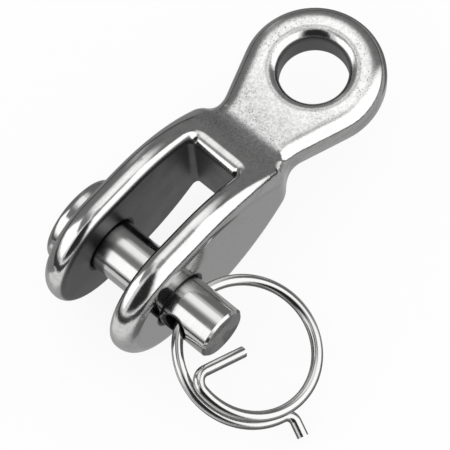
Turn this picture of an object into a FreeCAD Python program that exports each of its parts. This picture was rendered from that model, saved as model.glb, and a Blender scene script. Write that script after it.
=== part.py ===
"""Rigging toggle: a cast fork and eye, a clevis pin and the split ring that keeps the pin in.

Millimetres. The origin is the centre of the eye's bore. +Z runs along the bore, the fork points along -X,
and the pin lies along Y with its head on the +Y side.
"""

import FreeCAD, Part
import math
import os

import Sketcher

SIZES = {
    # cast body, seen from above
    "centre_distance": 37.5,  # pin axis to eye axis
    "jaw_gap": 8.6,
    "arm_thickness": 4.25,
    "slot_depth": 16.9,  # pin axis to the closed end of the slot
    "slot_corner_radius": 0.9,
    "eye_radius": 10.3,
    "eye_bore_radius": 5.0,
    "neck_width": 13.8,
    "neck_offset": 12.0,  # eye axis to the narrowest place
    "neck_radius": 4.5,
    "shoulder_radius": 3.4,
    # cast body, seen from the side
    "lobe_radius": 10.6,
    "arm_flat": 6.0,  # straight stretch of the arm from the pin towards the eye
    "taper_radius": 25.0,
    "valley_radius": 4.0,
    "plate_thickness": 6.1,
    # rounded edges of the casting
    "outer_round": 2.6,
    "jaw_round": 1.4,
    "bore_round": 1.6,
    "pin_hole_round": 0.45,
    # clevis pin
    "pin_diameter": 8.0,
    "pin_clearance": 0.06,  # radial, in the arms' holes
    "head_diameter": 13.6,
    "head_rim": 1.2,
    "head_height": 3.35,
    "head_round": 1.0,
    "head_gap": 0.05,  # under the head, to the arm
    "pin_reach": 8.05,  # from the near arm's outer face to the free end
    "pin_chamfer": 0.35,
    "hole_setback": 5.75,  # cross hole to the free end
    "hole_clearance": 0.32,  # round the leaning wire
    "hole_chamfer": 0.6,
    "pin_roll": -8.0,  # degrees, the cross hole's rise towards the eye
    # split ring
    "wire_diameter": 1.65,
    "ring_radius": 10.14,  # of the wire's middle, where it crosses the pin
    "ring_growth": 0.6,  # more radius in each turn
    "ring_pitch": 1.66,  # step to the side in each turn
    "lead_turn": 283.0,  # degrees from the inner bend to the pin
    "tail_turn": 154.5,  # degrees from the pin to the outer bend
    "leg_length": 6.9,
    "leg_bend_radius": 1.9,
    "leg_bend": 103.0,
    "tip_length": 2.3,
    "tip_bend_radius": 1.4,
    "tip_bend": 92.0,
    "ring_droop": 20.6,  # degrees, the ring below the pin's line
    "ring_lean": 11.1,  # degrees, the wire's slant in the cross hole
}

ARC_STEP = 75.0  # degrees, the longest arc in the ring's coil
MARGIN = 2.0  # how far a cutting outline runs past the metal
START, END, MIDDLE = range(1, 4)  # places on a sketch's curve
ORIGIN, X_AXIS = (-1, 1), -1
Y_AXIS = X_AXIS - 1  # a sketch counts its own axes down
SAME = 1e-4  # lengths closer than this are equal

# how far the leaning wire strays to each side of the cross hole's axis, between the hole's chamfers
STRAY = (
    "(Sizes.pin_diameter / 2 - Sizes.hole_chamfer + Sizes.ring_radius * tan(Sizes.ring_lean)) ^ 2"
    " / (4 * Sizes.ring_radius)"
)
# how far the wire bows outward past the place where it crosses the pin's middle
BOW = "Sizes.ring_radius * tan(Sizes.ring_lean) ^ 2 / 2"
HOLE_RADIUS = f"(Sizes.wire_diameter / 2 + Sizes.hole_clearance + {STRAY})"

X = FreeCAD.Vector(1, 0, 0)
Y = FreeCAD.Vector(0, 1, 0)
Z = FreeCAD.Vector(0, 0, 1)


def make_sheet(doc):
    """Write the driving sizes into a spreadsheet, one row each, and give each value its alias."""
    sheet = doc.addObject("Spreadsheet::Sheet", "Sizes")
    for row, (alias, value) in enumerate(SIZES.items(), start=1):
        sheet.set(f"A{row}", alias)
        sheet.set(f"B{row}", str(value))
        sheet.setAlias(f"B{row}", alias)
    doc.recompute()
    return sheet


def make_body(doc, name):
    """Add an empty body whose Label is the sub-part's name."""
    body = doc.addObject("PartDesign::Body", name)
    body.Label = name
    return body


def make_sketch(body, name, plane):
    """Add a sketch that lies flat on one of the body's own origin planes."""
    sketch = body.newObject("Sketcher::SketchObject", name)
    face = next(item for item in body.Origin.OriginFeatures if item.Role == plane)
    sketch.AttachmentSupport = [(face, "")]
    sketch.MapMode = "FlatFace"
    return sketch


def arc(x, y, radius, start, end):
    """Return an arc that runs counterclockwise from one angle to another, in radians."""
    circle = Part.Circle(FreeCAD.Vector(x, y, 0), FreeCAD.Vector(0, 0, 1), radius)
    return Part.ArcOfCircle(circle, start, end)


def line(x1, y1, x2, y2):
    """Return a straight sketch line."""
    return Part.LineSegment(FreeCAD.Vector(x1, y1, 0), FreeCAD.Vector(x2, y2, 0))


def hold(sketch, kind, *where, size=None):
    """Add a constraint, and tie it to the sheet where a size is given as an expression."""
    if size is None:
        sketch.addConstraint(Sketcher.Constraint(kind, *where))
        return
    now = sketch.evalExpression(size)
    index = sketch.addConstraint(Sketcher.Constraint(kind, *where, float(now)))
    sketch.setExpression(f"Constraints[{index}]", size)


def cut_through(body, name, sketch):
    """Pocket a sketch through everything, both ways from its plane."""
    pocket = body.newObject("PartDesign::Pocket", name)
    pocket.Profile = sketch
    pocket.Type = "ThroughAll"
    pocket.SideType = "Symmetric"
    return pocket


def is_circle(edge, radius, axis):
    """Say whether an edge lies on a circle of this radius that stands square to an axis."""
    if edge.Degenerated or not isinstance(edge.Curve, Part.Circle):
        return False
    return abs(edge.Curve.Radius - radius) < SAME and abs(edge.Curve.Axis.dot(axis)) > 1 - SAME


def edges_of(shape, wanted):
    """List the names of the edges that pass a test."""
    return [f"Edge{number}" for number, edge in enumerate(shape.Edges, start=1) if wanted(edge)]


def round_edges(body, name, base, edges, size):
    """Fillet the named edges of a feature by a radius from the sheet."""
    fillet = body.newObject("PartDesign::Fillet", name)
    fillet.Base = (base, edges)
    fillet.setExpression("Radius", size)
    return fillet


def draw_plan(sketch, sheet):
    """Draw the casting from above: a blunt fork, shoulders, a waisted neck and the round eye."""
    half = sheet.jaw_gap / 2 + sheet.arm_thickness
    front = -sheet.centre_distance - sheet.lobe_radius
    neck_x, neck_y = -sheet.neck_offset, sheet.neck_width / 2 + sheet.neck_radius
    reach = sheet.shoulder_radius + sheet.neck_radius
    bend = math.acos((neck_y - half + sheet.shoulder_radius) / reach)
    shoulder_x = neck_x - reach * math.sin(bend)
    span = math.hypot(neck_x, neck_y)
    lean = math.atan2(neck_y, neck_x) - math.acos((sheet.eye_radius + sheet.neck_radius) / span)
    out_x, out_y = math.cos(lean), math.sin(lean)
    quarter = math.pi / 2
    for side in (1, -1):
        flank = (
            neck_x - sheet.neck_radius * out_x,
            side * (neck_y - sheet.neck_radius * out_y),
            sheet.eye_radius * out_x,
            side * sheet.eye_radius * out_y,
        )
        shoulder = (quarter - bend, quarter) if side > 0 else (-quarter, bend - quarter)
        neck = (3 * quarter - bend, math.pi + lean) if side > 0 else (math.pi - lean, quarter + bend)
        sketch.addGeometry(line(front, side * half, shoulder_x, side * half))
        sketch.addGeometry(
            arc(shoulder_x, side * (half - sheet.shoulder_radius), sheet.shoulder_radius, *shoulder)
        )
        sketch.addGeometry(arc(neck_x, side * neck_y, sheet.neck_radius, *neck))
        sketch.addGeometry(line(*flank))
    sketch.addGeometry(line(front, -half, front, half))
    sketch.addGeometry(arc(0, 0, sheet.eye_radius, -lean, lean))
    top_side, top_shoulder, top_neck, top_flank = range(4)
    low_side, low_shoulder, low_neck, low_flank, blunt, eye = range(top_flank + 1, sketch.GeometryCount)
    hold(sketch, "Coincident", blunt, END, top_side, START)
    hold(sketch, "Tangent", top_side, END, top_shoulder, END)
    hold(sketch, "Tangent", top_shoulder, START, top_neck, START)
    hold(sketch, "Tangent", top_neck, END, top_flank, START)
    hold(sketch, "Tangent", top_flank, END, eye, END)
    hold(sketch, "Tangent", eye, START, low_flank, END)
    hold(sketch, "Tangent", low_flank, START, low_neck, START)
    hold(sketch, "Tangent", low_neck, END, low_shoulder, END)
    hold(sketch, "Tangent", low_shoulder, START, low_side, END)
    hold(sketch, "Coincident", low_side, START, blunt, START)
    hold(sketch, "Horizontal", top_side)
    hold(sketch, "Horizontal", low_side)
    hold(sketch, "Symmetric", blunt, START, blunt, END, X_AXIS)
    hold(sketch, "Symmetric", top_neck, MIDDLE, low_neck, MIDDLE, X_AXIS)
    hold(sketch, "Equal", top_shoulder, low_shoulder)
    hold(sketch, "Equal", top_neck, low_neck)
    hold(sketch, "Coincident", eye, MIDDLE, *ORIGIN)
    hold(sketch, "DistanceX", blunt, END, *ORIGIN, size="Sizes.centre_distance + Sizes.lobe_radius")
    hold(sketch, "DistanceY", blunt, START, blunt, END, size="Sizes.jaw_gap + 2 * Sizes.arm_thickness")
    hold(sketch, "DistanceX", top_neck, MIDDLE, *ORIGIN, size="Sizes.neck_offset")
    hold(
        sketch, "DistanceY", low_neck, MIDDLE, top_neck, MIDDLE,
        size="Sizes.neck_width + 2 * Sizes.neck_radius",
    )
    hold(sketch, "Radius", top_shoulder, size="Sizes.shoulder_radius")
    hold(sketch, "Radius", top_neck, size="Sizes.neck_radius")
    hold(sketch, "Radius", eye, size="Sizes.eye_radius")


def draw_side(sketch, sheet):
    """Draw the casting from the side inside a frame, so that a pocket takes away what lies between."""
    back = sheet.eye_radius + MARGIN
    plate = sheet.plate_thickness / 2
    pin_x = -sheet.centre_distance
    taper_x = pin_x + sheet.arm_flat
    reach = sheet.taper_radius + sheet.valley_radius
    slope = math.acos((plate + sheet.valley_radius - sheet.lobe_radius + sheet.taper_radius) / reach)
    valley_x = taper_x + reach * math.sin(slope)
    quarter = math.pi / 2
    for side in (1, -1):
        edge = side * sheet.lobe_radius
        taper = (quarter - slope, quarter) if side > 0 else (-quarter, slope - quarter)
        valley = (3 * quarter - slope, 3 * quarter) if side > 0 else (quarter, quarter + slope)
        sketch.addGeometry(line(pin_x, edge, taper_x, edge))
        sketch.addGeometry(
            arc(taper_x, side * (sheet.lobe_radius - sheet.taper_radius), sheet.taper_radius, *taper)
        )
        sketch.addGeometry(arc(valley_x, side * (plate + sheet.valley_radius), sheet.valley_radius, *valley))
        sketch.addGeometry(line(valley_x, side * plate, back, side * plate))
    sketch.addGeometry(line(back, -plate, back, plate))
    sketch.addGeometry(arc(pin_x, 0, sheet.lobe_radius, quarter, 3 * quarter))
    top_flat, top_taper, top_valley, top_plate = range(4)
    low_flat, low_taper, low_valley, low_plate, end, lobe = range(top_plate + 1, sketch.GeometryCount)
    hold(sketch, "Tangent", lobe, START, top_flat, START)
    hold(sketch, "Tangent", top_flat, END, top_taper, END)
    hold(sketch, "Tangent", top_taper, START, top_valley, START)
    hold(sketch, "Tangent", top_valley, END, top_plate, START)
    hold(sketch, "Coincident", top_plate, END, end, END)
    hold(sketch, "Coincident", end, START, low_plate, END)
    hold(sketch, "Tangent", low_plate, START, low_valley, START)
    hold(sketch, "Tangent", low_valley, END, low_taper, END)
    hold(sketch, "Tangent", low_taper, START, low_flat, END)
    hold(sketch, "Tangent", low_flat, START, lobe, END)
    for level in (top_flat, low_flat, top_plate, low_plate):
        hold(sketch, "Horizontal", level)
    hold(sketch, "Symmetric", end, START, end, END, X_AXIS)
    hold(sketch, "Equal", top_flat, low_flat)
    hold(sketch, "Equal", top_taper, low_taper)
    hold(sketch, "Equal", top_valley, low_valley)
    hold(sketch, "PointOnObject", lobe, MIDDLE, X_AXIS)
    hold(sketch, "DistanceX", lobe, MIDDLE, *ORIGIN, size="Sizes.centre_distance")
    hold(sketch, "Radius", lobe, size="Sizes.lobe_radius")
    hold(sketch, "DistanceX", top_flat, START, top_flat, END, size="Sizes.arm_flat")
    hold(sketch, "Radius", top_taper, size="Sizes.taper_radius")
    hold(sketch, "Radius", top_valley, size="Sizes.valley_radius")
    hold(sketch, "DistanceY", end, START, end, END, size="Sizes.plate_thickness")
    hold(sketch, "DistanceX", *ORIGIN, end, END, size=f"Sizes.eye_radius + {MARGIN}")
    left, right = pin_x - sheet.lobe_radius - MARGIN, back + MARGIN
    low, high = -sheet.lobe_radius - MARGIN, sheet.lobe_radius + MARGIN
    draw_frame(
        sketch, left, low, right, high,
        (
            f"Sizes.centre_distance + Sizes.lobe_radius + {MARGIN}",
            f"Sizes.lobe_radius + {MARGIN}",
            f"Sizes.eye_radius + {2 * MARGIN}",
        ),
    )


def draw_frame(sketch, left, low, right, high, sizes):
    """Add a rectangle that is symmetric about the sketch's X axis, held by three sizes from the origin."""
    to_left, to_high, to_right = sizes
    base = sketch.GeometryCount
    sketch.addGeometry(line(left, low, right, low))
    sketch.addGeometry(line(right, low, right, high))
    sketch.addGeometry(line(right, high, left, high))
    sketch.addGeometry(line(left, high, left, low))
    for step in range(4):
        hold(sketch, "Coincident", base + step, END, base + (step + 1) % 4, START)
    hold(sketch, "Horizontal", base)
    hold(sketch, "Horizontal", base + 2)
    hold(sketch, "Vertical", base + 1)
    hold(sketch, "Vertical", base + 3)
    hold(sketch, "DistanceX", base + 2, END, *ORIGIN, size=to_left)
    hold(sketch, "DistanceY", *ORIGIN, base + 2, END, size=to_high)
    hold(sketch, "DistanceY", base, START, *ORIGIN, size=to_high)
    hold(sketch, "DistanceX", *ORIGIN, base, END, size=to_right)


def draw_slot(sketch, sheet):
    """Draw the jaw slot from above: open at the front, flat at its closed end, with small round corners."""
    half = sheet.jaw_gap / 2
    front = -sheet.centre_distance - sheet.lobe_radius - MARGIN
    closed = sheet.slot_depth - sheet.centre_distance
    corner = sheet.slot_corner_radius
    quarter = math.pi / 2
    sketch.addGeometry(line(front, -half, closed - corner, -half))
    sketch.addGeometry(arc(closed - corner, corner - half, corner, -quarter, 0))
    sketch.addGeometry(line(closed, corner - half, closed, half - corner))
    sketch.addGeometry(arc(closed - corner, half - corner, corner, 0, quarter))
    sketch.addGeometry(line(closed - corner, half, front, half))
    sketch.addGeometry(line(front, half, front, -half))
    low, low_corner, floor, top_corner, top, mouth = range(6)
    hold(sketch, "Tangent", low, END, low_corner, START)
    hold(sketch, "Tangent", low_corner, END, floor, START)
    hold(sketch, "Tangent", floor, END, top_corner, START)
    hold(sketch, "Tangent", top_corner, END, top, START)
    hold(sketch, "Coincident", top, END, mouth, START)
    hold(sketch, "Coincident", mouth, END, low, START)
    hold(sketch, "Vertical", floor)
    hold(sketch, "Horizontal", low)
    hold(sketch, "Horizontal", top)
    hold(sketch, "Symmetric", mouth, START, mouth, END, X_AXIS)
    hold(sketch, "Equal", low_corner, top_corner)
    hold(sketch, "Radius", top_corner, size="Sizes.slot_corner_radius")
    hold(sketch, "DistanceY", mouth, END, mouth, START, size="Sizes.jaw_gap")
    hold(sketch, "DistanceX", floor, END, *ORIGIN, size="Sizes.centre_distance - Sizes.slot_depth")
    hold(
        sketch, "DistanceX", mouth, END, *ORIGIN,
        size=f"Sizes.centre_distance + Sizes.lobe_radius + {MARGIN}",
    )


def draw_circle(sketch, distance, radius):
    """Draw a circle on the sketch's X axis, the given distance on its negative side."""
    away = float(sketch.evalExpression(distance)) if distance else 0.0
    centre = FreeCAD.Vector(-away, 0, 0)
    sketch.addGeometry(Part.Circle(centre, FreeCAD.Vector(0, 0, 1), float(sketch.evalExpression(radius))))
    if distance:
        hold(sketch, "PointOnObject", 0, MIDDLE, X_AXIS)
        hold(sketch, "DistanceX", 0, MIDDLE, *ORIGIN, size=distance)
    else:
        hold(sketch, "Coincident", 0, MIDDLE, *ORIGIN)
    hold(sketch, "Radius", 0, size=radius)


def build_toggle_body(doc, sheet):
    """Build the casting: plan outline, side relief, jaw slot, eye bore, pin holes and rounded edges."""
    body = make_body(doc, "toggle_body")
    plan = make_sketch(body, "plan_outline", "XY_Plane")
    draw_plan(plan, sheet)
    blank = body.newObject("PartDesign::Pad", "blank")
    blank.Profile = plan
    blank.SideType = "Symmetric"
    blank.setExpression("Length", f"2 * (Sizes.lobe_radius + {MARGIN / 2})")
    side = make_sketch(body, "side_outline", "XZ_Plane")
    draw_side(side, sheet)
    relief = cut_through(body, "side_relief", side)
    doc.recompute()

    def lobe_edge(shape, y):
        """Name the round front edge of one lobe; a fillet there runs on all the way round the casting."""
        return edges_of(
            shape,
            lambda edge: is_circle(edge, sheet.lobe_radius, Y) and abs(edge.Curve.Center.y - y) < SAME,
        )

    rim = lobe_edge(relief.Shape, sheet.jaw_gap / 2 + sheet.arm_thickness)
    round_edges(body, "outer_edges", relief, rim, "Sizes.outer_round")
    slot = make_sketch(body, "jaw_slot_outline", "XY_Plane")
    draw_slot(slot, sheet)
    jaw = cut_through(body, "jaw_slot", slot)
    doc.recompute()
    jaw_rim = lobe_edge(jaw.Shape, sheet.jaw_gap / 2)
    round_edges(body, "jaw_edges", jaw, jaw_rim, "Sizes.jaw_round")
    eye = make_sketch(body, "eye_bore_outline", "XY_Plane")
    draw_circle(eye, None, "Sizes.eye_bore_radius")
    cut_through(body, "eye_bore", eye)
    holes = make_sketch(body, "pin_hole_outline", "XZ_Plane")
    draw_circle(holes, "Sizes.centre_distance", "Sizes.pin_diameter / 2 + Sizes.pin_clearance")
    bored = cut_through(body, "pin_holes", holes)
    doc.recompute()
    bore_rims = edges_of(bored.Shape, lambda edge: is_circle(edge, sheet.eye_bore_radius, Z))
    bore_edges = round_edges(body, "bore_edges", bored, bore_rims, "Sizes.bore_round")
    doc.recompute()
    hole_radius = sheet.pin_diameter / 2 + sheet.pin_clearance
    hole_rims = edges_of(bore_edges.Shape, lambda edge: is_circle(edge, hole_radius, Y))
    round_edges(body, "pin_hole_edges", bore_edges, hole_rims, "Sizes.pin_hole_round")
    return body


def draw_pin(sketch, sheet):
    """Draw half of the pin's section, along Y: domed head, shank and chamfered free end."""
    face = sheet.jaw_gap / 2 + sheet.arm_thickness
    seat = face + sheet.head_gap
    tip = -face - sheet.pin_reach
    shank, head = sheet.pin_diameter / 2, sheet.head_diameter / 2
    rim = seat + sheet.head_rim
    top = seat + sheet.head_height
    rise = sheet.head_height - sheet.head_rim
    rounding = sheet.head_round
    crown = (rise ** 2 + (head - rounding) ** 2 - rounding ** 2) / (2 * (rise - rounding))
    lean = math.asin((head - rounding) / (crown - rounding))
    chamfer = sheet.pin_chamfer
    sketch.addGeometry(line(tip, 0, tip, shank - chamfer))
    sketch.addGeometry(line(tip, shank - chamfer, tip + chamfer, shank))
    sketch.addGeometry(line(tip + chamfer, shank, seat, shank))
    sketch.addGeometry(line(seat, shank, seat, head))
    sketch.addGeometry(line(seat, head, rim, head))
    sketch.addGeometry(arc(rim, head - rounding, rounding, lean, math.pi / 2))
    sketch.addGeometry(arc(top - crown, 0, crown, 0, lean))
    sketch.addGeometry(line(top, 0, tip, 0))
    end, bevel, side, under, edge, corner, dome, axis = range(8)
    hold(sketch, "Coincident", end, END, bevel, START)
    hold(sketch, "Coincident", bevel, END, side, START)
    hold(sketch, "Coincident", side, END, under, START)
    hold(sketch, "Coincident", under, END, edge, START)
    hold(sketch, "Tangent", edge, END, corner, END)
    hold(sketch, "Tangent", corner, START, dome, END)
    hold(sketch, "Coincident", dome, START, axis, START)
    hold(sketch, "Coincident", axis, END, end, START)
    hold(sketch, "Vertical", end)
    hold(sketch, "Vertical", under)
    hold(sketch, "Horizontal", side)
    hold(sketch, "Horizontal", edge)
    hold(sketch, "PointOnObject", dome, MIDDLE, X_AXIS)
    hold(sketch, "PointOnObject", axis, START, X_AXIS)
    hold(sketch, "PointOnObject", axis, END, X_AXIS)
    outer = "Sizes.jaw_gap / 2 + Sizes.arm_thickness"
    hold(sketch, "DistanceX", end, START, *ORIGIN, size=f"{outer} + Sizes.pin_reach")
    hold(sketch, "DistanceX", *ORIGIN, under, START, size=f"{outer} + Sizes.head_gap")
    hold(sketch, "DistanceX", under, START, edge, END, size="Sizes.head_rim")
    hold(sketch, "DistanceX", under, START, axis, START, size="Sizes.head_height")
    hold(sketch, "Radius", corner, size="Sizes.head_round")
    hold(sketch, "DistanceY", *ORIGIN, side, END, size="Sizes.pin_diameter / 2")
    hold(sketch, "DistanceY", *ORIGIN, edge, END, size="Sizes.head_diameter / 2")
    hold(sketch, "DistanceX", bevel, START, bevel, END, size="Sizes.pin_chamfer")
    hold(sketch, "DistanceY", bevel, START, bevel, END, size="Sizes.pin_chamfer")


def draw_cross_hole(sketch, sheet):
    """Draw half of the cross hole's section along its own axis: a straight bore, flared at both mouths."""
    radius = float(sketch.evalExpression(HOLE_RADIUS))
    straight = sheet.pin_diameter / 2 - sheet.hole_chamfer
    outside = sheet.pin_diameter / 2 + MARGIN
    flare = radius + sheet.hole_chamfer + MARGIN
    corners = [
        (-outside, 0), (-outside, flare), (-straight, radius),
        (straight, radius), (outside, flare), (outside, 0),
    ]
    for number, corner in enumerate(corners):
        sketch.addGeometry(line(*corner, *corners[(number + 1) % len(corners)]))
    left, left_flare, bore, right_flare, _, axis = range(6)
    for number in range(6):
        hold(sketch, "Coincident", number, END, (number + 1) % 6, START)
    hold(sketch, "Vertical", left)
    hold(sketch, "PointOnObject", axis, START, X_AXIS)
    hold(sketch, "Symmetric", axis, START, axis, END, Y_AXIS)
    hold(sketch, "Symmetric", left_flare, START, right_flare, END, Y_AXIS)
    hold(sketch, "Symmetric", bore, START, bore, END, Y_AXIS)
    hold(sketch, "DistanceX", axis, END, axis, START, size=f"Sizes.pin_diameter + {2 * MARGIN}")
    hold(sketch, "DistanceX", bore, START, bore, END, size="Sizes.pin_diameter - 2 * Sizes.hole_chamfer")
    hold(sketch, "DistanceY", *ORIGIN, bore, START, size=HOLE_RADIUS)
    hold(sketch, "DistanceY", *ORIGIN, left, END, size=f"{HOLE_RADIUS} + Sizes.hole_chamfer + {MARGIN}")


def build_clevis_pin(doc, sheet):
    """Build the pin along its own axis, then set it in the arms with its cross hole rolled."""
    body = make_body(doc, "clevis_pin")
    section = make_sketch(body, "pin_section", "YZ_Plane")
    draw_pin(section, sheet)
    turned = body.newObject("PartDesign::Revolution", "turned_pin")
    turned.Profile = section
    turned.ReferenceAxis = (section, ["H_Axis"])
    turned.Angle = 360
    bore = make_sketch(body, "cross_hole_section", "XY_Plane")
    bore.setExpression(
        "AttachmentOffset.Base.y",
        "Sizes.hole_setback - Sizes.jaw_gap / 2 - Sizes.arm_thickness - Sizes.pin_reach",
    )
    draw_cross_hole(bore, sheet)
    drilled = body.newObject("PartDesign::Groove", "cross_hole")
    drilled.Profile = bore
    drilled.ReferenceAxis = (bore, ["H_Axis"])
    drilled.Angle = 360
    fork_axis = FreeCAD.Vector(-sheet.centre_distance, 0, 0)
    body.Placement = FreeCAD.Placement(fork_axis, FreeCAD.Rotation(Y, -sheet.pin_roll))
    return body


def bend(place, along, inward, radius, degrees):
    """Return an arc that leaves a point along a direction and turns inward, its end and its heading there."""
    inward = (inward - along * inward.dot(along)).normalize()
    centre = place + inward * radius

    def at(angle):
        return centre - inward * (radius * math.cos(angle)) + along * (radius * math.sin(angle))

    turn = math.radians(degrees)
    heading = along * math.cos(turn) + inward * math.sin(turn)
    return Part.Arc(place, at(turn / 2), at(turn)).toShape(), at(turn), heading


def wind(place, along, radius, growth, degrees, side):
    """Return a chain of smoothly joined arcs round the coil's axis, Z, its end and its heading there.

    Side is 1 for a chain that turns to the left and widens, and -1 for one to the right that narrows. Each
    arc is tipped a little, so that the wire climbs as steeply at its end as at its start.
    """
    count = math.ceil(degrees / ARC_STEP)
    step = degrees / count
    arcs = []
    for number in range(count):
        level = Z.cross(along).normalize() * side
        up = along.cross(level) * side
        tip = math.asin(along.z * math.tan(math.radians(step / 2)) / up.z)
        inward = level * math.cos(tip) + up * math.sin(tip)
        arc_radius = radius + side * growth * (number + 0.5) * step / 360
        edge, place, along = bend(place, along, inward, arc_radius, step)
        arcs.append(edge)
    return arcs, place, along


def wire_path(sheet):
    """Return the middle of the ring's wire, from the leg's free end through the coil to the tip."""
    crossing = FreeCAD.Vector(sheet.ring_radius, 0, 0)
    widening, fall = sheet.ring_growth / math.tau, sheet.ring_pitch / math.tau
    travel = FreeCAD.Vector(widening, sheet.ring_radius, -fall).normalize()
    lead, leg_root, back = wind(
        crossing, travel * -1, sheet.ring_radius, sheet.ring_growth, sheet.lead_turn, -1
    )
    tail, tip_root, ahead = wind(
        crossing, travel, sheet.ring_radius, sheet.ring_growth, sheet.tail_turn, 1
    )
    leg_bend, leg_start, leg_heading = bend(
        leg_root, back, leg_root * -1, sheet.leg_bend_radius, sheet.leg_bend
    )
    tip_bend, tip_start, tip_heading = bend(
        tip_root, ahead, tip_root, sheet.tip_bend_radius, sheet.tip_bend
    )
    leg_end = leg_start + leg_heading * sheet.leg_length
    leg = Part.makeLine(leg_end, leg_start)
    tip = Part.makeLine(tip_start, tip_start + tip_heading * sheet.tip_length)
    return Part.Wire([leg, leg_bend, *reversed(lead), *tail, tip_bend, tip]), leg_end, leg_heading


def build_split_ring(doc, sheet):
    """Build the ring from one length of wire, in its own frame, then hang it in the pin's cross hole."""
    path, leg_end, leg_heading = wire_path(sheet)
    section = Part.Wire(Part.makeCircle(sheet.wire_diameter / 2, leg_end, leg_heading))
    ring = doc.addObject("Part::Feature", "split_ring")
    ring.Label = "split_ring"
    ring.Shape = path.makePipeShell([section], True, False)
    exact = path.Length * math.pi * (sheet.wire_diameter / 2) ** 2
    if abs(ring.Shape.Volume - exact) > exact / 1000:
        raise RuntimeError("the wire's section changes along the ring")
    hole_y = sheet.hole_setback - sheet.jaw_gap / 2 - sheet.arm_thickness - sheet.pin_reach
    hung = FreeCAD.Rotation(Y, -sheet.pin_roll) * FreeCAD.Rotation(X, sheet.ring_droop)
    turned = hung * FreeCAD.Rotation(Z, 90 + sheet.ring_lean)
    aside = ring.evalExpression(STRAY) - ring.evalExpression(BOW)
    crossing = FreeCAD.Vector(-sheet.centre_distance, hole_y, 0) + hung.multVec(Y) * aside
    ring.Placement = FreeCAD.Placement(crossing - turned.multVec(X) * sheet.ring_radius, turned)
    return ring


def main():
    """Build the toggle, check every piece and write one file for each."""
    doc = FreeCAD.newDocument("rigging_toggle")
    sheet = make_sheet(doc)
    parts = [build_toggle_body(doc, sheet), build_clevis_pin(doc, sheet), build_split_ring(doc, sheet)]
    doc.recompute()
    for item in doc.Objects:
        if "Invalid" in item.State or "Error" in item.State:
            raise RuntimeError(f"{item.Name} is {item.State}")
    os.makedirs("parts", exist_ok=True)
    for part in parts:
        if part.Shape.isNull() or not part.Shape.isValid():
            raise RuntimeError(f"{part.Label} has no valid shape")
        part.Shape.exportStep(f"parts/{part.Label}.step")


main()
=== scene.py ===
"""Rigging toggle in polished stainless steel: finishes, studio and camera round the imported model.

Lengths are metres in the model's own frame: the origin is the centre of the eye's bore, +Z runs along
the bore, the jaw opens toward -X, and the clevis pin lies along Y with its head at +Y.
"""

import logging
import math
from dataclasses import dataclass
from enum import Enum
from typing import Any, Callable

import bpy
from mathutils import Matrix, Vector


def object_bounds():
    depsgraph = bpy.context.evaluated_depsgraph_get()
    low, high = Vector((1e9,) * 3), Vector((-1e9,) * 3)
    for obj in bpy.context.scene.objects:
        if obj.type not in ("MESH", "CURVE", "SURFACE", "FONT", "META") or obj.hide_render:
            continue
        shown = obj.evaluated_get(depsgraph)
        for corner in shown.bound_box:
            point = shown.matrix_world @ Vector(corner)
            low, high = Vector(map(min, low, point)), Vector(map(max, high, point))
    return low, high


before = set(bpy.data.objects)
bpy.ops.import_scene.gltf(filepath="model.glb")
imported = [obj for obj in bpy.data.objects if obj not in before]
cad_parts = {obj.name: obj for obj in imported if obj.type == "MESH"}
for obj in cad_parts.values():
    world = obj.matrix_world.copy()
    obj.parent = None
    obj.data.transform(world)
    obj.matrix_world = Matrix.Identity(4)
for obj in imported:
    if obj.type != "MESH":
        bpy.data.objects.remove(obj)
cad_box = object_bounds()

log = logging.getLogger("rigging_toggle")

MM = 0.001
STEEL_WARMTH = 0.006
Colour = tuple[float, float, float, float]
Place = tuple[float, float, float]
Socket = bpy.types.NodeSocket


def grey(value: float, warmth: float = 0.0) -> Colour:
    """Return a neutral colour, with a little more red than blue where warmth is above 0."""
    return (value * (1 + warmth), value, value * (1 - warmth), 1.0)


def direction(azimuth: float, elevation: float) -> Vector:
    """Return the unit vector that points at a place on the studio's dome.

    Args:
        azimuth: degrees from +X towards +Y.
        elevation: degrees above the horizon.

    Returns:
        The direction in the model's frame.
    """
    turn, rise = math.radians(azimuth), math.radians(elevation)
    return Vector((math.cos(turn) * math.cos(rise), math.sin(turn) * math.cos(rise), math.sin(rise)))


class Way(Enum):
    """The model's axes, as places in a vector."""

    ALONG = "X"
    ACROSS = "Y"
    UP = "Z"


class Mixture(Enum):
    """What a Mix node mixes: its data type, the places of its three inputs and of its output."""

    NUMBERS = ("FLOAT", (0, 2, 3), 0)
    COLOURS = ("RGBA", (0, 6, 7), 2)


@dataclass(frozen=True)
class Span:
    """The two values between which a share goes from 0 to 1. The first may be the larger."""

    start: float
    end: float

    def moved(self, distance: float) -> "Span":
        """Return the span moved along by a distance."""
        return Span(self.start + distance, self.end + distance)


def millimetres(start: float, end: float) -> Span:
    """Return a span whose two values are given in millimetres."""
    return Span(start * MM, end * MM)


@dataclass(frozen=True)
class Mark:
    """A mark in the metal: the grey that the colour goes towards, and how far it goes."""

    tone: float
    strength: float = 1.0


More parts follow.
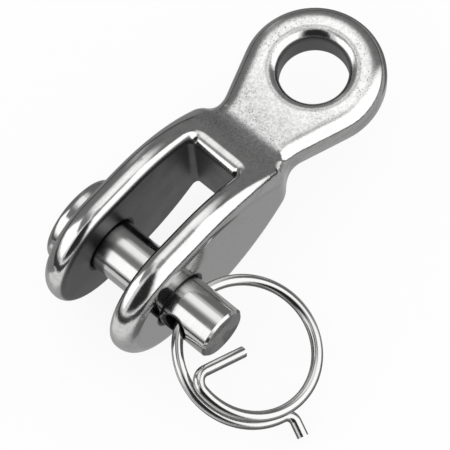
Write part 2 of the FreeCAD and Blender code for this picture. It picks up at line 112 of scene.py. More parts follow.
@dataclass(frozen=True)
class ToggleSizes:
    """The sizes of the solids that the finishes follow."""

    centre_distance: float = 37.5 * MM
    jaw_gap: float = 8.6 * MM
    arm_thickness: float = 4.25 * MM
    slot_depth: float = 16.9 * MM
    bore_radius: float = 5.0 * MM
    bore_round: float = 1.6 * MM
    pin_end: float = -16.6 * MM
    cross_hole: float = -10.85 * MM
    cross_hole_rise: float = -8.0  # degrees, towards the eye

    @property
    def pin_x(self) -> float:
        """Return the place of the pin's axis along X."""
        return -self.centre_distance

    @property
    def half_gap(self) -> float:
        """Return the place of the jaw's walls along Y."""
        return self.jaw_gap / 2

    @property
    def slot_end(self) -> float:
        """Return the place of the slot's closed end along X."""
        return self.slot_depth - self.centre_distance

    @property
    def arm_middle(self) -> float:
        """Return the place of an arm's middle along Y."""
        return self.half_gap + self.arm_thickness / 2

    @property
    def arm_outside(self) -> float:
        """Return the place of an arm's outer face along Y."""
        return self.half_gap + self.arm_thickness


class Board:
    """A node tree with short calls for the nodes that the finishes are made of."""

    def __init__(self, tree: bpy.types.NodeTree) -> None:
        """Keep the tree that the nodes go into."""
        self.tree = tree

    def add(self, kind: str, settings: dict[str, Any] | None = None, **inputs: Any) -> bpy.types.Node:
        """Add a node.

        Args:
            kind: the node's type name.
            settings: attributes to set on the node, such as its operation.
            inputs: values or sockets by input name, with _ for a space.

        Returns:
            The new node.
        """
        node = self.tree.nodes.new(kind)
        for name, value in (settings or {}).items():
            setattr(node, name, value)
        for name, value in inputs.items():
            self.feed(node.inputs[name.replace("_", " ")], value)
        return node

    def feed(self, socket: Socket, value: Any) -> None:
        """Link a socket or set a constant on an input."""
        if isinstance(value, Socket):
            self.tree.links.new(value, socket)
        else:
            socket.default_value = value

    def maths(self, operation: str, *values: Any) -> Socket:
        """Return the output of a math node fed with values or sockets in order."""
        node = self.add("ShaderNodeMath", {"operation": operation})
        for socket, value in zip(node.inputs, values):
            self.feed(socket, value)
        return node.outputs[0]

    def times(self, first: Any, *others: Any) -> Any:
        """Return the product of values or sockets."""
        product = first
        for other in others:
            product = self.maths("MULTIPLY", product, other)
        return product

    def most(self, first: Any, *others: Any) -> Any:
        """Return the largest of values or sockets."""
        largest = first
        for other in others:
            largest = self.maths("MAXIMUM", largest, other)
        return largest

    def size(self, value: Socket) -> Socket:
        """Return a value without its sign."""
        return self.maths("ABSOLUTE", value)

    def raised(self, value: Any, share: Any, amount: Any) -> Socket:
        """Return a value with a share of an amount added to it."""
        return self.maths("ADD", value, self.times(share, amount))

    def vector(self, operation: str, *values: Any) -> bpy.types.Node:
        """Return a vector math node fed with values or sockets in order."""
        node = self.add("ShaderNodeVectorMath", {"operation": operation})
        for socket, value in zip(node.inputs, values):
            self.feed(socket, value)
        return node

    def length(self, vector: Socket) -> Socket:
        """Return a vector's length."""
        return self.vector("LENGTH", vector).outputs["Value"]

    def parts(self, vector: Socket) -> dict[Way, Socket]:
        """Split a vector into its three components."""
        node = self.add("ShaderNodeSeparateXYZ", Vector=vector)
        return {way: node.outputs[way.value] for way in Way}

    def joined(self, x: Any, y: Any, z: Any) -> Socket:
        """Return a vector made of three values or sockets."""
        return self.add("ShaderNodeCombineXYZ", X=x, Y=y, Z=z).outputs[0]

    def placed(self, vector: Socket, turn: Place, shift: Place) -> Socket:
        """Return a place turned about the origin, by angles in radians, and then shifted."""
        return self.add("ShaderNodeMapping", Vector=vector, Rotation=turn, Location=shift).outputs[0]

    def ramp(self, value: Socket, span: Span) -> Socket:
        """Return the smooth share from 0 to 1 of a value's way through a span."""
        rising = span.start < span.end
        node = self.add(
            "ShaderNodeMapRange",
            {"interpolation_type": "SMOOTHSTEP"},
            Value=value,
            From_Min=min(span.start, span.end),
            From_Max=max(span.start, span.end),
            To_Min=0.0 if rising else 1.0,
            To_Max=1.0 if rising else 0.0,
        )
        return node.outputs["Result"]

    def mix(self, what: Mixture, share: Any, first: Any, second: Any) -> Socket:
        """Return a mixture that goes from the first to the second as the share goes from 0 to 1."""
        data_type, places, result = what.value
        node = self.add("ShaderNodeMix", {"data_type": data_type})
        for place, value in zip(places, (share, first, second)):
            self.feed(node.inputs[place], value)
        return node.outputs[result]

    def blend(self, share: Any, first: Any, second: Any) -> Socket:
        """Return a number that goes from the first value to the second as the share goes from 0 to 1."""
        return self.mix(Mixture.NUMBERS, share, first, second)

    def marked(self, colour: Any, share: Any, mark: Mark) -> Socket:
        """Return a colour with a mark laid over it, where the share is above 0."""
        return self.mix(Mixture.COLOURS, self.times(share, mark.strength), colour, grey(mark.tone))

    def noise(self, vector: Socket, scale: Any = 1.0, detail: float = 2.0, rough: float = 0.5) -> Socket:
        """Return a noise value from 0 to 1, with features about 1 / scale apart."""
        node = self.add("ShaderNodeTexNoise", Vector=vector, Scale=scale, Detail=detail, Roughness=rough)
        return node.outputs["Fac"]

    def mixed(self, share: Socket, first: Socket, second: Socket) -> Socket:
        """Return a shader that goes from the first to the second as the share goes from 0 to 1."""
        node = self.add("ShaderNodeMixShader")
        for socket, value in zip(node.inputs, (share, first, second)):
            self.feed(socket, value)
        return node.outputs[0]


class Group(Board):
    """A shader node group in the making. Its first input is Place, and it puts out numbers."""

    def __init__(self, name: str, inputs: dict[str, Any], outputs: tuple[str, ...]) -> None:
        """Create the group with its sockets.

        Args:
            name: the group's name.
            inputs: the first value of each further input by its name, a tuple for a vector.
            outputs: the names of the outputs.
        """
        super().__init__(bpy.data.node_groups.new(name, "ShaderNodeTree"))
        sockets = self.tree.interface
        for label, value in {"Place": (0.0, 0.0, 0.0), **inputs}.items():
            kind = "NodeSocketVector" if isinstance(value, tuple) else "NodeSocketFloat"
            sockets.new_socket(label, in_out="INPUT", socket_type=kind).default_value = value
        for label in outputs:
            sockets.new_socket(label, in_out="OUTPUT", socket_type="NodeSocketFloat")
        self.given = self.add("NodeGroupInput").outputs
        self.result = self.add("NodeGroupOutput").inputs

    def put_out(self, **values: Socket) -> bpy.types.NodeTree:
        """Feed the outputs by name and return the finished group."""
        for name, value in values.items():
            self.feed(self.result[name], value)
        return self.tree


class Effects:
    """The surface effects of the finishes, each built once as a node group."""

    def __init__(self) -> None:
        """Build the groups."""
        self.grain = self._grain()
        self.wear = self._wear()
        self.polish = self._polish()
        self.tooling = self._tooling()

    @staticmethod
    def _grain() -> bpy.types.NodeTree:
        """Build the skin of the metal: small pits and grains over soft waves."""
        patches, pits, specks = Span(0.40, 0.62), Span(0.30, 0.12), Span(0.38, 0.62)
        inputs = {
            "Grain Scale": 2500.0,
            "Wave Scale": 420.0,
            "Wave Share": 0.45,
            "Patch Scale": 170.0,
            "Pit Scale": 2750.0,
            "Pit Depth": 0.3,
        }
        group = Group("metal_grain", inputs, ("Height", "Speckle", "Pit"))
        given = group.given
        fine = group.noise(given["Place"], given["Grain Scale"], detail=3.0, rough=0.75)
        wave = group.noise(given["Place"], given["Wave Scale"], detail=1.0, rough=0.4)
        patch = group.ramp(group.noise(given["Place"], given["Patch Scale"], detail=1.0), patches)
        cells = group.add("ShaderNodeTexVoronoi", Vector=given["Place"], Scale=given["Pit Scale"])
        pit = group.times(group.ramp(cells.outputs["Distance"], pits), patch)
        height = group.blend(given["Wave Share"], fine, wave)
        height = group.maths("SUBTRACT", height, group.times(pit, given["Pit Depth"]))
        return group.put_out(Height=height, Speckle=group.ramp(fine, specks), Pit=pit)

    @staticmethod
    def _wear() -> bpy.types.NodeTree:
        """Build the handling marks: broad smudges broken up by thin scratches."""
        smudges, scratches = Span(0.36, 0.66), Span(0.66, 0.74)
        inputs = {
            "Smudge Scale": 190.0,
            "Scratch Axis": (0.2, 0.3, 0.93),
            "Scratch Turn": 0.6,
            "Scratch Run": (300.0, 5200.0, 5200.0),
        }
        group = Group("handling_wear", inputs, ("Smudge", "Scratch"))
        given = group.given
        smudge = group.noise(given["Place"], given["Smudge Scale"], detail=3.0, rough=0.55)
        turned = group.add(
            "ShaderNodeVectorRotate",
            Vector=given["Place"],
            Axis=given["Scratch Axis"],
            Angle=given["Scratch Turn"],
        ).outputs[0]
        stretched = group.vector("MULTIPLY", turned, given["Scratch Run"]).outputs[0]
        scratch = group.noise(stretched, rough=0.7)
        return group.put_out(Smudge=group.ramp(smudge, smudges), Scratch=group.ramp(scratch, scratches))

    @staticmethod
    def _polish() -> bpy.types.NodeTree:
        """Build the streaks that a polishing wheel leaves along the length of a piece."""
        streaks = Span(0.44, 0.66)
        group = Group("polishing_streaks", {"Run": (140.0, 1500.0, 1500.0)}, ("Height", "Streak"))
        stretched = group.vector("MULTIPLY", group.given["Place"], group.given["Run"]).outputs[0]
        height = group.noise(stretched, detail=3.0, rough=0.65)
        return group.put_out(Height=height, Streak=group.ramp(height, streaks))

    @staticmethod
    def _tooling() -> bpy.types.NodeTree:
        """Build fine lines that run round the Z axis, as a lathe or a drawing die leaves them."""
        lines = Span(0.35, 0.65)
        group = Group("tool_lines", {"Line Scale": 9000.0, "Run Scale": 120.0}, ("Height", "Line"))
        given = group.given
        at = group.parts(given["Place"])
        radius = group.length(group.joined(at[Way.ALONG], at[Way.ACROSS], 0.0))
        stretched = group.joined(
            group.times(radius, given["Line Scale"]),
            group.times(at[Way.UP], given["Line Scale"]),
            group.times(at[Way.ALONG], given["Run Scale"]),
        )
        height = group.noise(stretched, rough=0.6)
        return group.put_out(Height=height, Line=group.ramp(height, lines))


@dataclass(frozen=True)
class Steel:
    """A stainless steel surface: its tone and how far it is polished."""

    tone: float
    roughness: float

    def colour(self) -> Colour:
        """Return the metal's colour, a little warmer than pure grey."""
        return grey(self.tone, STEEL_WARMTH)


@dataclass(frozen=True)
class CastSteel(Steel):
    """A cast surface, with the depth of its grain and how far its specks and pits show."""

    grain: float
    specks: float = 0.12
    pits: float = 0.12


class Finish:
    """A metal material with its own Principled shader, bump and surface effects."""

    def __init__(self, name: str) -> None:
        """Make the material and its shader, under a name."""
        self.material = bpy.data.materials.new(name)
        self.material.use_nodes = True
        self.material.node_tree.nodes.clear()
        self.board = Board(self.material.node_tree)
        output = self.board.add("ShaderNodeOutputMaterial")
        self.shader = self.board.add("ShaderNodeBsdfPrincipled", Metallic=1.0)
        self.board.feed(output.inputs["Surface"], self.shader.outputs["BSDF"])
        coordinates = self.board.add("ShaderNodeTexCoord")
        self.place = coordinates.outputs["Object"]
        self.facing = coordinates.outputs["Normal"]

    def effect(self, group: bpy.types.NodeTree, **inputs: Any) -> bpy.types.bpy_prop_collection:
        """Place one of the shared groups in the material.

        Args:
            group: the node group.
            inputs: its own values or sockets by input name, with _ for a space.

        Returns:
            The outputs of the group's node.
        """
        node = self.board.add("ShaderNodeGroup", {"node_tree": group})
        for name, value in inputs.items():
            self.board.feed(node.inputs[name.replace("_", " ")], value)
        return node.outputs

    def surface(
        self, colour: Any, roughness: Any, height: Socket, depth: float, normal: Socket | None = None
    ) -> None:
        """Feed the shader.

        Args:
            colour: the base colour or its socket.
            roughness: the roughness or its socket.
            height: the bump's height socket, from 0 to 1.
            depth: the bump's full depth in metres.
            normal: the normal that the bump starts from, where it isn't the solid's own.
        """
        bump = self.board.add("ShaderNodeBump", Height=height, Distance=depth, Strength=1.0)
        if normal is not None:
            self.board.feed(bump.inputs["Normal"], normal)
        self.board.feed(self.shader.inputs["Base Color"], colour)
        self.board.feed(self.shader.inputs["Roughness"], roughness)
        self.board.feed(self.shader.inputs["Normal"], bump.outputs["Normal"])

    def put_on(self, node: bpy.types.Object) -> None:
        """Give every slot of an object this material, and report it."""
        for slot in node.material_slots:
            slot.material = self.material
        log.info("%s: %s", node.name, self.material.name)


@dataclass(frozen=True)
class CastingRegions:
    """How far each region of the casting covers a place on its surface, from 0 to 1."""

    endways: Socket
    satin: Socket
    upright: Socket
    jaw: Socket
    duller: Socket
    rim: Socket
    matte: Socket
    seam: Socket
    crest: Socket


@dataclass(frozen=True)
class Casting:
    """The cast fork and eye: polished rounds, flat sides darkened with painted shade, a satin eye face, and
    walls in the jaw and the bore that are rougher as cast and darkened further with painted shade.

    The spans named for a facing are parts of a unit normal, and the others are metres.
    """

    sizes: ToggleSizes = ToggleSizes()
    polished: CastSteel = CastSteel(0.65, 0.10, grain=0.30)
    satin: CastSteel = CastSteel(0.84, 0.27, grain=1.5, specks=0.30, pits=0.7)
    # the flat sides: as polished as the rounds, with painted shade in their darker tone
    shaded_flank: CastSteel = CastSteel(0.52, 0.10, grain=0.1)
    # the walls of the jaw and the bore: rougher as cast, and their near black tone is painted shade
    as_cast_and_shaded_wall: CastSteel = CastSteel(0.14, 0.38, grain=1.0)
    facing_up: Span = Span(0.86, 0.998)
    facing_ends: Span = Span(0.25, 0.75)
    facing_sides: Span = Span(0.93, 0.995)
    facing_off_sides: Span = Span(0.35, 0.10)
    facing_off_up: Span = Span(0.45, 0.15)
    past_fork: Span = millimetres(-18.6, -16.4)  # along X
    before_eye: Span = millimetres(-8.0, -10.0)  # along X
    towards_fork: Span = millimetres(-2.0, -11.0)  # along X
    arm_tips: Span = millimetres(-38.0, -41.0)  # along X
    crest_by_eye: Span = millimetres(-17.8, -19.2)  # along X
    crest_by_slot: Span = millimetres(0.0, 1.4)  # from the slot's end along X
    crest_sides: Span = millimetres(1.6, -1.6)  # from the jaw's walls along Y
    slot_sides: Span = millimetres(0.5, 0.2)  # from the jaw's walls along Y
    slot_bottom: Span = millimetres(0.3, 0.05)  # from the slot's end along X
    bore_edge: Span = millimetres(0.45, 0.15)  # from the bore's wall
    rim_width: Span = millimetres(0.32, 0.04)  # from the outer edge of the bore's round
    # painted contact shade: a dark ring painted on the arms round the pin's holes, full inside this span
    pin_edge: Span = millimetres(4.80, 4.40)  # from the pin's axis
    speck: Mark = Mark(0.28)
    pit: Mark = Mark(0.12)
    dull_face: Mark = Mark(0.34, 0.30)
    # painted shade: a dark line painted where the bore's round meets the eye's face
    rim_shade_line: Mark = Mark(0.22, 0.5)
    # the grey of the painted contact shade round the pin's holes
    contact_shade_mark: Mark = Mark(0.03, 0.92)
    streak: Mark = Mark(0.36, 0.30)
    duller_specks: float = 0.2
    matte_roughness: float = 0.30
    contact_shade_roughness: float = 0.45
    crest_roughness: float = 0.26
    smudge_roughness: float = 0.05
    scratch_roughness: float = 0.06
    streak_depth: float = 0.12
    faint_streak_depth: float = 0.02
    bump_depth: float = 0.03 * MM

    def dress(self, node: bpy.types.Object, effects: Effects) -> None:
        """Give the casting its finish.

        Args:
            node: the casting's object.
            effects: the shared node groups.
        """
        finish = Finish("cast_stainless")
        board = finish.board
        regions = self.regions(finish)
        grain = finish.effect(effects.grain, Place=finish.place)
        wear = finish.effect(effects.wear, Place=finish.place)
        polish = finish.effect(effects.polish, Place=finish.place)
        depth = self.spread(board, Mixture.NUMBERS, regions, lambda steel: steel.grain)
        streaks = board.most(regions.upright, regions.endways)
        streaks = board.blend(streaks, self.streak_depth, self.faint_streak_depth)
        height = board.raised(board.times(grain["Height"], depth), polish["Height"], streaks)
        colour = self.colour(board, regions, grain, polish["Streak"])
        roughness = self.roughness(board, regions, wear)
        finish.surface(colour, roughness, height, self.bump_depth, self.eased_normal(finish, regions.crest))
        finish.put_on(node)

    def regions(self, finish: Finish) -> CastingRegions:
        """Work out the regions of the surface from its places and facings.

        Args:
            finish: the casting's material.

        Returns:
            The share of each region.
        """
        board, sizes = finish.board, self.sizes
        at, facing = board.parts(finish.place), board.parts(finish.facing)
        along, aside = at[Way.ALONG], board.size(at[Way.ACROSS])
        from_bore = board.length(board.joined(along, at[Way.ACROSS], 0.0))
        from_rim = board.size(board.maths("SUBTRACT", from_bore, sizes.bore_radius + sizes.bore_round))
        from_pin = board.length(board.joined(board.maths("SUBTRACT", along, sizes.pin_x), 0.0, at[Way.UP]))
        level = board.ramp(board.size(facing[Way.UP]), self.facing_up)
        endways = board.ramp(board.size(facing[Way.ALONG]), self.facing_ends)
        to_side = board.size(facing[Way.ACROSS])
        valley = board.times(board.ramp(to_side, self.facing_off_sides), board.ramp(along, self.before_eye))
        satin = board.times(board.most(level, valley), board.ramp(along, self.past_fork))
        slot = board.times(
            board.ramp(aside, self.slot_sides.moved(sizes.half_gap)),
            board.ramp(along, self.slot_bottom.moved(sizes.slot_end)),
        )
        crest = board.times(
            board.ramp(along, self.crest_by_eye),
            board.ramp(along, self.crest_by_slot.moved(sizes.slot_end)),
            board.ramp(aside, self.crest_sides.moved(sizes.half_gap)),
        )
        return CastingRegions(
            endways=endways,
            satin=satin,
            upright=board.ramp(to_side, self.facing_sides),
            # the jaw's and the bore's walls, darkened partly with painted shade
            jaw=board.most(slot, board.ramp(from_bore, self.bore_edge.moved(sizes.bore_radius))),
            duller=board.times(board.ramp(along, self.towards_fork), satin),
            # where the painted shade line round the bore's round lies
            rim=board.times(board.ramp(from_rim, self.rim_width), level),
            matte=board.times(
                endways, board.ramp(facing[Way.UP], self.facing_off_up), board.ramp(along, self.arm_tips)
            ),
            # painted contact shade round the arms' pin holes
            seam=board.ramp(from_pin, self.pin_edge),
            crest=crest,
        )

    def spread(
        self, board: Board, what: Mixture, regions: CastingRegions, value_of: Callable[[CastSteel], Any]
    ) -> Any:
        """Return one value of the four steels, each in its own region.

        Args:
            board: the material's board.
            what: whether the values are numbers or colours.
            regions: the regions of the surface.
            value_of: takes the value from a steel.

        Returns:
            The socket of the value over the surface.
        """
        spread = value_of(self.polished)
        covers = ((regions.satin, self.satin), (regions.upright, self.shaded_flank), (regions.jaw, self.as_cast_and_shaded_wall))
        for share, steel in covers:
            spread = board.mix(what, share, spread, value_of(steel))
        return spread

    def colour(
        self, board: Board, regions: CastingRegions, grain: bpy.types.bpy_prop_collection, streak: Socket
    ) -> Socket:
        """Return the metal's colour with its specks, pits and polishing streaks, a duller eye face towards
        the fork, and painted shade round the bore and the pin's holes.

        Args:
            board: the material's board.
            regions: the regions of the surface.
            grain: the outputs of the grain effect.
            streak: the share of the polishing streaks.

        Returns:
            The colour's socket.
        """
        colour = self.spread(board, Mixture.COLOURS, regions, lambda steel: steel.colour())
        specks = self.spread(board, Mixture.NUMBERS, regions, lambda steel: steel.specks)
        specks = board.raised(specks, regions.duller, self.duller_specks)
        pits = self.spread(board, Mixture.NUMBERS, regions, lambda steel: steel.pits)
        unpolished = board.most(regions.satin, regions.upright, regions.jaw)
        marks = (
            (board.times(grain["Speckle"], specks), self.speck),
            (regions.duller, self.dull_face),
            # painted shade line round the bore's round
            (regions.rim, self.rim_shade_line),
            (board.times(grain["Pit"], pits), self.pit),
            # painted contact shade round the pin's holes
            (regions.seam, self.contact_shade_mark),
            (board.times(streak, board.maths("SUBTRACT", 1.0, unpolished)), self.streak),
        )
        for share, mark in marks:
            colour = board.marked(colour, share, mark)
        return colour

    def roughness(
        self, board: Board, regions: CastingRegions, wear: bpy.types.bpy_prop_collection
    ) -> Socket:
        """Return the roughness, a little higher in smudges and scratches.

        Args:
            board: the material's board.
            regions: the regions of the surface.
            wear: the outputs of the wear effect.

        Returns:
            The roughness's socket.
        """
        rough = self.spread(board, Mixture.NUMBERS, regions, lambda steel: steel.roughness)
        rough = board.blend(regions.matte, rough, self.matte_roughness)
        rough = board.blend(regions.seam, rough, self.contact_shade_roughness)
        rough = board.raised(rough, wear["Smudge"], self.smudge_roughness)
        rough = board.raised(rough, wear["Scratch"], self.scratch_roughness)
        return board.blend(regions.crest, rough, self.crest_roughness)

    @staticmethod
    def eased_normal(finish: Finish, crest: Socket) -> Socket:
        """Return the normal, which leans less towards the eye on the crest at the slot's end.

        Args:
            finish: the casting's material.
            crest: the share of the crest.

        Returns:
            The normal's socket, in the world's frame.
        """
        board = finish.board
        facing = board.parts(finish.facing)
        lean = board.times(board.most(facing[Way.ALONG], 0.0), crest)
        along = board.maths("SUBTRACT", facing[Way.ALONG], lean)
        return board.add(
            "ShaderNodeVectorTransform",
            {"vector_type": "NORMAL", "convert_from": "OBJECT", "convert_to": "WORLD"},
            Vector=board.joined(along, facing[Way.ACROSS], facing[Way.UP]),
        ).outputs[0]


@dataclass(frozen=True)
class ClevisPin:
    """The turned pin: a bright shank and head, a smeared end, painted shade in the cross hole, and painted
    contact shade where the shank meets the arms.
    """

    sizes: ToggleSizes = ToggleSizes()
    bright: Steel = Steel(0.56, 0.10)
    end: Steel = Steel(0.84, 0.24)
    facing_ends: Span = Span(0.9, 0.99)  # part of a unit normal
    end_depth: Span = millimetres(0.6, 0.3)  # from the end's face along Y
    hole_edge: Span = millimetres(2.4, 2.1)  # from the cross hole's axis
    # painted contact shade on the shank, fading out over this width from each arm's face
    contact_shade_width: Span = millimetres(1.1, 0.0)  # from an arm's face
    smear_edge: Span = Span(0.46, 0.62)
    smear_scale: float = 330.0
    smear: Mark = Mark(0.22, 0.55)
    line: Mark = Mark(0.35, 0.08)
    # painted contact shade on the shank beside the arms
    seam: Mark = Mark(0.10, 0.7)
    # painted shade: the cross hole and its mouths painted near black
    hole: Mark = Mark(0.07)
    hole_roughness: float = 0.45
    smudge_roughness: float = 0.05
    line_roughness: float = 0.04
    scratch_turn: float = 2.1  # radians
    bump_depth: float = 0.003 * MM

    def dress(self, node: bpy.types.Object, effects: Effects) -> None:
        """Give the pin its finish, with lathe lines round its axis.

        Args:
            node: the pin's object.
            effects: the shared node groups.
        """
        finish = Finish("turned_stainless")
        board = finish.board
        lathe = board.placed(finish.place, (math.pi / 2, 0.0, 0.0), (-self.sizes.pin_x, 0.0, 0.0))
        lines = finish.effect(effects.tooling, Place=lathe)
        wear = finish.effect(effects.wear, Place=finish.place, Scratch_Turn=self.scratch_turn)
        on_end, in_hole = self.on_end(finish), self.in_hole(finish)
        smears = board.ramp(board.noise(finish.place, self.smear_scale, rough=0.6), self.smear_edge)
        end = board.marked(self.end.colour(), smears, self.smear)
        colour = board.mix(Mixture.COLOURS, on_end, self.bright.colour(), end)
        # painted contact shade beside the arms, and painted shade in the cross hole
        marks = ((lines["Line"], self.line), (self.at_arms(finish), self.seam), (in_hole, self.hole))
        for share, mark in marks:
            colour = board.marked(colour, share, mark)
        rough = board.blend(on_end, self.bright.roughness, self.end.roughness)
        rough = board.blend(in_hole, rough, self.hole_roughness)
        rough = board.raised(rough, wear["Smudge"], self.smudge_roughness)
        rough = board.raised(rough, lines["Line"], self.line_roughness)
        finish.surface(colour, rough, lines["Height"], self.bump_depth)
        finish.put_on(node)

    def on_end(self, finish: Finish) -> Socket:
        """Return the share of the pin's flat end."""
        board = finish.board
        square = board.ramp(board.size(board.parts(finish.facing)[Way.ACROSS]), self.facing_ends)
        deep = self.end_depth.moved(self.sizes.pin_end)
        return board.times(square, board.ramp(board.parts(finish.place)[Way.ACROSS], deep))

    def in_hole(self, finish: Finish) -> Socket:
        """Return the share of the cross hole and its mouths, which are painted near black as painted shade.
        """
        board, sizes = finish.board, self.sizes
        middle = (sizes.pin_x, sizes.cross_hole, 0.0)
        from_middle = board.vector("SUBTRACT", finish.place, middle).outputs[0]
        axis = tuple(direction(0.0, sizes.cross_hole_rise))
        off_axis = board.length(board.vector("CROSS_PRODUCT", from_middle, axis).outputs[0])
        return board.ramp(off_axis, self.hole_edge)

    def at_arms(self, finish: Finish) -> Socket:
        """Return the share of the painted contact shade where the shank meets the arms, which leaves the
        head out.
        """
        board, sizes = finish.board, self.sizes
        across = board.parts(finish.place)[Way.ACROSS]
        from_middle = board.size(board.maths("SUBTRACT", board.size(across), sizes.arm_middle))
        from_face = board.maths("SUBTRACT", from_middle, sizes.arm_thickness / 2)
        on_shank = board.ramp(across, Span(sizes.arm_outside, sizes.arm_middle))
        return board.times(board.ramp(from_face, self.contact_shade_width), on_shank)


@dataclass(frozen=True)
class SplitRing:
    """The ring of bright drawn spring wire."""

    centre: Place = (-36.03 * MM, -19.68 * MM, -3.56 * MM)
    normal: Place = (0.130, -0.352, 0.927)
    wire: Steel = Steel(0.54, 0.10)
    line: Mark = Mark(0.42, 0.10)
    line_scale: float = 6000.0
    run_scale: float = 60.0
    smudge_roughness: float = 0.06
    scratch_turn: float = 1.2  # radians
    bump_depth: float = 0.003 * MM

    def dress(self, node: bpy.types.Object, effects: Effects) -> None:
        """Give the wire its finish, with the die's lines along the coil.

        Args:
            node: the ring's object.
            effects: the shared node groups.
        """
        finish = Finish("drawn_wire")
        board = finish.board
        lean = Vector(self.normal).to_track_quat("Z", "Y").to_matrix().inverted()
        coil = board.placed(finish.place, tuple(lean.to_euler()), tuple(lean @ -Vector(self.centre)))
        lines = finish.effect(
            effects.tooling, Place=coil, Line_Scale=self.line_scale, Run_Scale=self.run_scale
        )
        wear = finish.effect(effects.wear, Place=finish.place, Scratch_Turn=self.scratch_turn)
        colour = board.marked(self.wire.colour(), lines["Line"], self.line)
        rough = board.raised(self.wire.roughness, wear["Smudge"], self.smudge_roughness)
        finish.surface(colour, rough, lines["Height"], self.bump_depth)
        finish.put_on(node)


class Glow:
    """The material of a studio panel: an even light, which can fade out over the panel."""

    def __init__(self, name: str, strength: float) -> None:
        """Make the material.

        Args:
            name: the name of the material and of its panel.
            strength: how bright it is, where 1 is white.
        """
        self.material = bpy.data.materials.new(name)
        self.material.use_nodes = True
        self.material.node_tree.nodes.clear()
        self.board = Board(self.material.node_tree)
        self.light = self.board.add("ShaderNodeEmission", Color=grey(1.0), Strength=strength).outputs[0]
        self.surface = self.board.add("ShaderNodeOutputMaterial").inputs["Surface"]
        self.board.feed(self.surface, self.light)

    def fade(self, share: Socket) -> None:
        """Let the light give way to what lies behind it, where the share falls below 1."""
        clear = self.board.add("ShaderNodeBsdfTransparent").outputs[0]
        self.board.feed(self.surface, self.board.mixed(share, clear, self.light))

    def put_on(self, panel: bpy.types.Object) -> None:
        """Dress a panel, which then only mirror-like reflections meet, so that it blocks no light."""
        panel.name = self.material.name
        panel.data.materials.append(self.material)
        panel.visible_camera = False
        panel.visible_diffuse = False
        panel.visible_shadow = False
        panel.visible_transmission = False


@dataclass(frozen=True)
class Panel:
    """A bright or dark panel on the studio's dome, which the polished metal mirrors.

    Its place, its size and the width of its soft edge are in degrees as seen from the object, and its
    distance is in metres. It lights nothing else, so the floor keeps an even, plain light.
    """

    name: str
    azimuth: float
    elevation: float
    width: float
    height: float
    glow: float
    distance: float = 0.6
    soft: float = 8.0
    cells: int = 24

    def stand(self, target: Vector) -> None:
        """Stand the panel on the dome round a target, with an edge that fades out."""
        bpy.ops.mesh.primitive_grid_add(x_subdivisions=self.cells, y_subdivisions=self.cells, size=1.0)
        panel = bpy.context.object
        cover = panel.data.attributes.new("cover", "FLOAT", "POINT")
        for vertex, item in zip(panel.data.vertices, cover.data):
            x, y, _ = vertex.co
            inward = min((0.5 - abs(x)) * self.width, (0.5 - abs(y)) * self.height)
            item.value = min(inward / self.soft, 1.0)
            aim = direction(self.azimuth + x * self.width, self.elevation + y * self.height)
            vertex.co = target + aim * self.distance
        glow = Glow(self.name, self.glow)
        glow.fade(glow.board.add("ShaderNodeAttribute", {"attribute_name": cover.name}).outputs["Fac"])
        glow.put_on(panel)


@dataclass(frozen=True)
class SoftLight:
    """A round panel that faces the object and fades out from its middle to its rim.

    The two angles are as seen from the object, in degrees from its middle: it is full inside the first,
    and gone at the second.
    """

    name: str
    azimuth: float
    elevation: float
    full: float
    gone: float
    glow: float
    distance: float = 0.5
    corners: int = 64

    def stand(self, target: Vector) -> None:
        """Stand the panel so that it faces a target."""
        inner, outer = (math.tan(math.radians(angle)) * self.distance for angle in (self.full, self.gone))
        bpy.ops.mesh.primitive_circle_add(vertices=self.corners, radius=outer, fill_type="NGON")
        panel = bpy.context.object
        aim = direction(self.azimuth, self.elevation)
        centre = target + aim * self.distance
        panel.data.transform(Matrix.Translation(centre) @ aim.to_track_quat("Z", "Y").to_matrix().to_4x4())
        glow = Glow(self.name, self.glow)
        place = glow.board.add("ShaderNodeTexCoord").outputs["Object"]
        away = glow.board.vector("DISTANCE", place, tuple(centre)).outputs["Value"]
        glow.fade(glow.board.ramp(away, Span(outer, inner)))
        glow.put_on(panel)


@dataclass(frozen=True)
class Mat:
    """A flat sheet on the floor beside the object, which only the polished metal mirrors."""

    name: str
    x: float
    y: float
    length: float
    width: float
    glow: float
    lift: float

    def lay(self, floor_height: float) -> None:
        """Lay the sheet just above the floor, whose height is given."""
        bpy.ops.mesh.primitive_plane_add(size=1.0)
        sheet = bpy.context.object
        place = Matrix.Translation((self.x, self.y, floor_height + self.lift))
        sheet.data.transform(place @ Matrix.Diagonal((self.length, self.width, 1.0, 1.0)))
        Glow(self.name, self.glow).put_on(sheet)


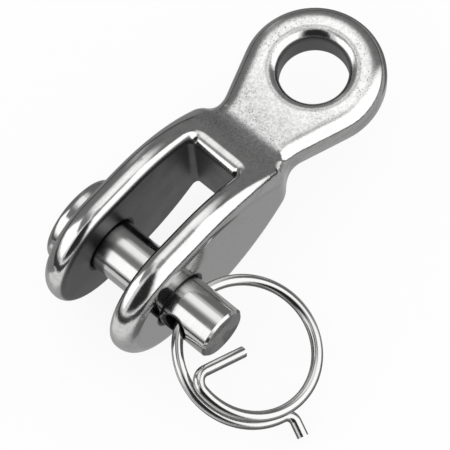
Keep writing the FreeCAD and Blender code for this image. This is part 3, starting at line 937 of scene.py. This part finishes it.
@dataclass(frozen=True)
class Studio:
    """A pale floor in even light, with panels that give the metal its bright and dark bands."""

    floor_tone: float = 0.92
    floor_roughness: float = 0.9
    floor_size: float = 6.0
    floor_glow: float = 0.90
    room_tone: float = 1.0
    mats: tuple[Mat, ...] = (
        Mat("table", 0.0, 0.0, 1.2, 1.2, 0.05, 0.05 * MM),
        Mat("cloth", 11.0 * MM, -10.0 * MM, 0.14, 0.19, 0.46, 0.10 * MM),
        Mat("sheet", -78.0 * MM, -8.0 * MM, 0.04, 0.08, 0.95, 0.12 * MM),
        Mat("shade_right", 29.0 * MM, 8.0 * MM, 0.032, 0.05, 0.16, 0.20 * MM),
        Mat("shade_ring", -36.0 * MM, -26.5 * MM, 0.034, 0.022, 0.18, 0.25 * MM),
        Mat("shade", -5.0 * MM, 62.0 * MM, 0.17, 0.085, 0.28, 0.15 * MM),
    )
    panels: tuple[Panel, ...] = (
        Panel("window_front", -64.0, 34.0, 92.0, 76.0, 1.8, distance=0.55),
        Panel("window_back", 138.0, 29.0, 58.0, 46.0, 1.8, soft=2.0),
        Panel("sill_back", 138.0, 0.0, 60.0, 14.0, 0.65, soft=3.0),
        Panel("ceiling", 122.0, 64.0, 84.0, 30.0, 0.26, distance=0.58, soft=3.0),
        Panel("wall_end", 40.0, 26.0, 146.0, 72.0, 0.22),
        Panel("strip_end", 66.0, 12.0, 14.0, 40.0, 0.45, distance=0.58, soft=5.0),
        Panel("card_left", -147.0, 41.0, 74.0, 76.0, 0.03, distance=0.5, soft=7.0),
    )
    lights: tuple[SoftLight, ...] = (
        SoftLight("overhead", 47.0, 63.0, 4.0, 31.0, 1.50),
        SoftLight("zenith", -50.0, 82.0, 8.0, 16.0, 0.34, distance=0.45),
    )

    def build(self, target: Vector, floor_height: float) -> None:
        """Build the floor, the room's light and the panels.

        Args:
            target: the place that the panels face.
            floor_height: the height that the object stands on.
        """
        bpy.ops.mesh.primitive_plane_add(size=self.floor_size, location=(0.0, 0.0, floor_height))
        floor = bpy.context.object
        floor.name = "floor"
        floor.data.materials.append(self.floor_paint())
        for mat in self.mats:
            mat.lay(floor_height)
        world = bpy.data.worlds.new("studio")
        world.use_nodes = True
        world.node_tree.nodes["Background"].inputs["Color"].default_value = grey(self.room_tone)
        bpy.context.scene.world = world
        for panel in (*self.panels, *self.lights):
            panel.stand(target)

    def floor_paint(self) -> bpy.types.Material:
        """Return the floor's pale material, near white to the eye and in mirrors, with a soft shadow."""
        material = bpy.data.materials.new("floor")
        material.use_nodes = True
        board = Board(material.node_tree)
        shader = material.node_tree.nodes["Principled BSDF"]
        board.feed(shader.inputs["Base Color"], grey(self.floor_tone))
        board.feed(shader.inputs["Roughness"], self.floor_roughness)
        board.feed(shader.inputs["Specular IOR Level"], 0.0)
        rays = board.add("ShaderNodeLightPath").outputs
        seen = board.most(rays["Is Camera Ray"], rays["Is Glossy Ray"], rays["Is Transmission Ray"])
        white = board.add("ShaderNodeEmission", Color=grey(1.0), Strength=1.0).outputs[0]
        output = material.node_tree.nodes["Material Output"]
        share = board.times(seen, self.floor_glow)
        board.feed(output.inputs["Surface"], board.mixed(share, shader.outputs["BSDF"], white))
        return material


@dataclass(frozen=True)
class PhotoCamera:
    """The camera at the photograph's viewing angle, far off with a long lens."""

    place: Place = (-300.9 * MM, -318.1 * MM, 931.8 * MM)
    turn: Place = (23.931, 2.904, -47.963)  # degrees about X, then Y, then Z
    lens: float = 586.7
    sensor: float = 36.0
    nearest: float = 0.05
    farthest: float = 10.0

    def build(self) -> None:
        """Create the camera and make it the scene's own."""
        data = bpy.data.cameras.new("photo_camera")
        data.lens, data.sensor_width = self.lens, self.sensor
        data.clip_start, data.clip_end = self.nearest, self.farthest
        camera = bpy.data.objects.new("photo_camera", data)
        camera.location = self.place
        camera.rotation_euler = [math.radians(angle) for angle in self.turn]
        bpy.context.scene.collection.objects.link(camera)
        bpy.context.scene.camera = camera


def main() -> None:
    """Dress the three pieces and build the studio and the camera."""
    logging.basicConfig(level=logging.INFO, format="%(name)s: %(message)s")
    bpy.ops.object.select_all(action="DESELECT")
    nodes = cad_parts
    effects = Effects()
    Casting().dress(nodes["toggle_body"], effects)
    ClevisPin().dress(nodes["clevis_pin"], effects)
    SplitRing().dress(nodes["split_ring"], effects)
    low, high = cad_box
    Studio().build((low + high) / 2, low.z)
    PhotoCamera().build()
    bpy.context.scene.view_settings.view_transform = "Standard"
    log.info("box written")


if __name__ == "__main__":
    main()
